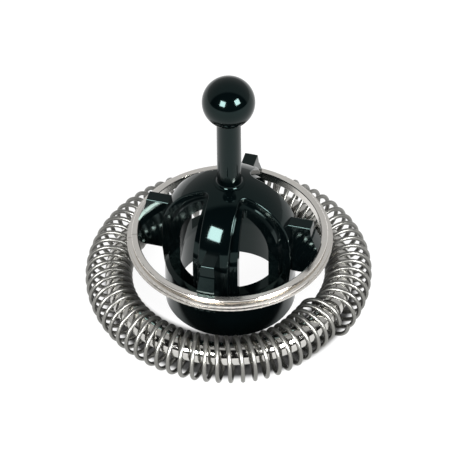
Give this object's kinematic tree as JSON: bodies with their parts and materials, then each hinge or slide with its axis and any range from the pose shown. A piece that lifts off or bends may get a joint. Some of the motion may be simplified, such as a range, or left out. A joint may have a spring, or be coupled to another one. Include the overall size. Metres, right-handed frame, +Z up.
{
  "type": "magnetic milk frother whisk with froth ring",
  "caption": "Black dome-caged frother whisk on a hollow magnet collar, with a ball-ended stem and a grooved steel rim, standing inside a coil-wound steel froth ring.",
  "frame": {"origin": "on the whisk's axis, in the plane that the collar's foot and the froth coil stand on", "axes": "+Z up along the stem; the four ribs and their clips lie along +X, +Y, -X and -Y"},
  "size_m": [0.0568, 0.0572, 0.0564],
  "materials": {
    "black_plastic": "polished, moulded",
    "cap_plastic": "satin, moulded",
    "bush_plastic": "natural acetal",
    "magnet": "nickel-plated sintered magnet",
    "spring_wire": "bright drawn stainless wire",
    "polished_steel": "polished stainless tube",
    "rim_steel": "polished rolled stainless"
  },
  "bodies": {
    "froth_hoop": {"hoop_tube": "polished_steel", "hoop_joint_pin": "polished_steel"},
    "froth_coil": {"froth_coil": "spring_wire"},
    "whisk": {"cage": "black_plastic", "collar": "black_plastic", "base_cap": "cap_plastic", "drive_magnet_1": "magnet", "drive_magnet_2": "magnet", "drive_magnet_3": "magnet", "drive_magnet_4": "magnet", "drive_magnet_5": "magnet", "drive_magnet_6": "magnet", "drive_magnet_7": "magnet", "drive_magnet_8": "magnet", "pivot_bush": "bush_plastic", "grip_stem": "black_plastic", "ball_knob": "black_plastic", "ring_clip_1": "black_plastic", "ring_clip_2": "black_plastic", "ring_clip_3": "black_plastic", "ring_clip_4": "black_plastic"},
    "rim_ring": {"rim_ring": "rim_steel"}
  },
  "joints": [
    {"name": "coil_turn", "type": "hinge", "parent": "froth_hoop", "child": "froth_coil", "pos_m": [-0.00025, -0.00007, 0], "axis": [0, 0, 1], "continuous": true},
    {"name": "whisk_lift", "type": "slide", "parent": "froth_hoop", "child": "whisk", "axis": [0, 0, 1], "range_m": [0, 0.06]},
    {"name": "rim_turn", "type": "hinge", "parent": "whisk", "child": "rim_ring", "pos_m": [0, 0, 0.0155], "axis": [0, 0, 1], "continuous": true}
  ]
}
